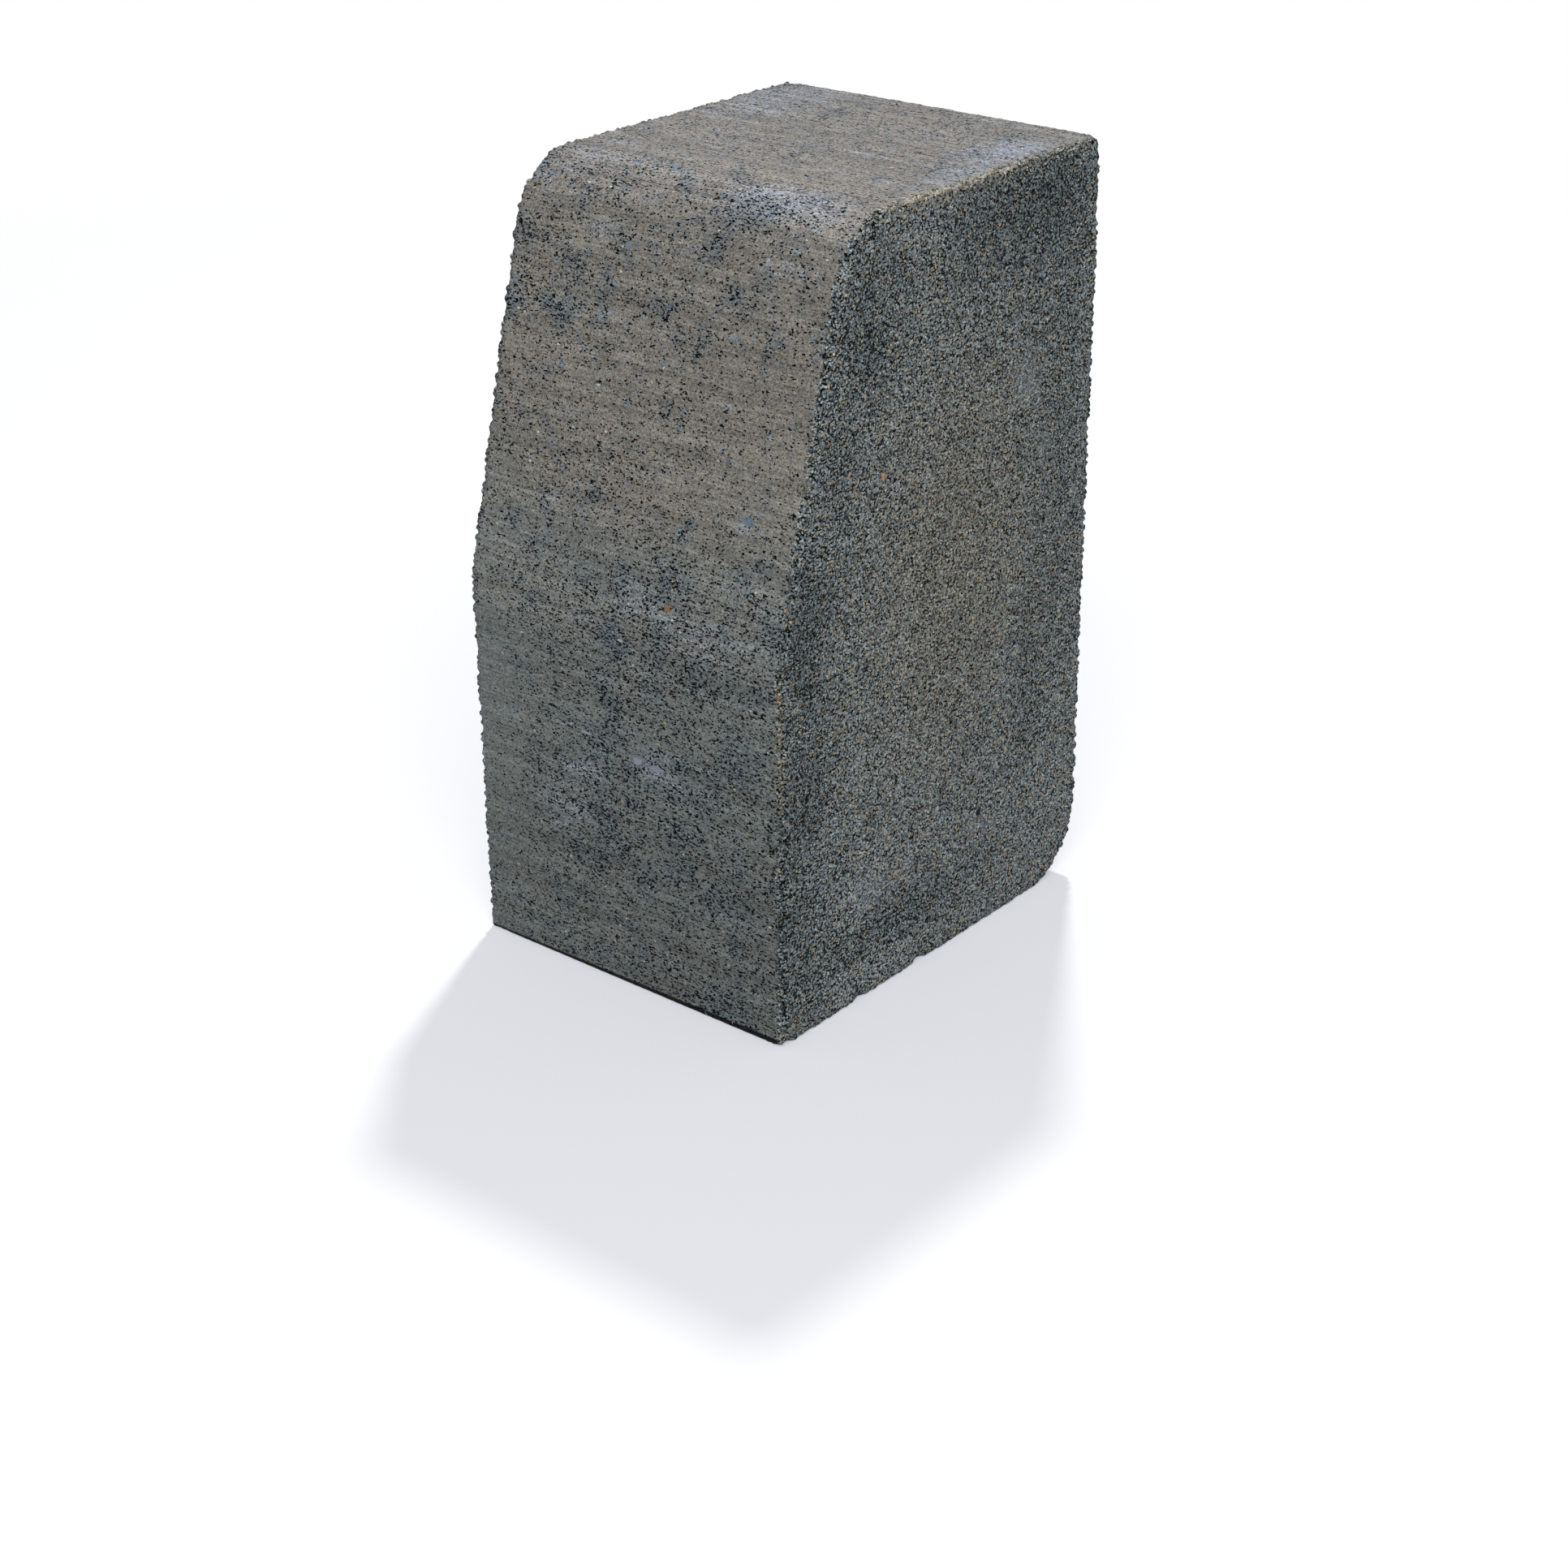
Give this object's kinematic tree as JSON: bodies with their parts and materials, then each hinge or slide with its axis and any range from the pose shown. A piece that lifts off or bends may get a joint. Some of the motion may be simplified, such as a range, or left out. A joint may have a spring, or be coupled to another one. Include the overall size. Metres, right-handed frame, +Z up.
{
  "type": "concrete kerb block",
  "caption": "Small pressed concrete kerb block with a half-battered road face, a rounded nose at the top, a bullnose at the back of the bed and square butting ends.",
  "frame": {"origin": "middle of the block's footprint, on the bed plane", "axes": "+Z up from the bed to the top, +X along the kerb line, -Y towards the road face, +Y towards the back"},
  "size_m": [0.1, 0.125, 0.2],
  "materials": {
    "concrete": "dry-pressed concrete, smeared mould skin on the long faces and open sandy grain on the ends"
  },
  "bodies": {
    "root": {"kerb_block": "concrete"}
  },
  "joints": []
}
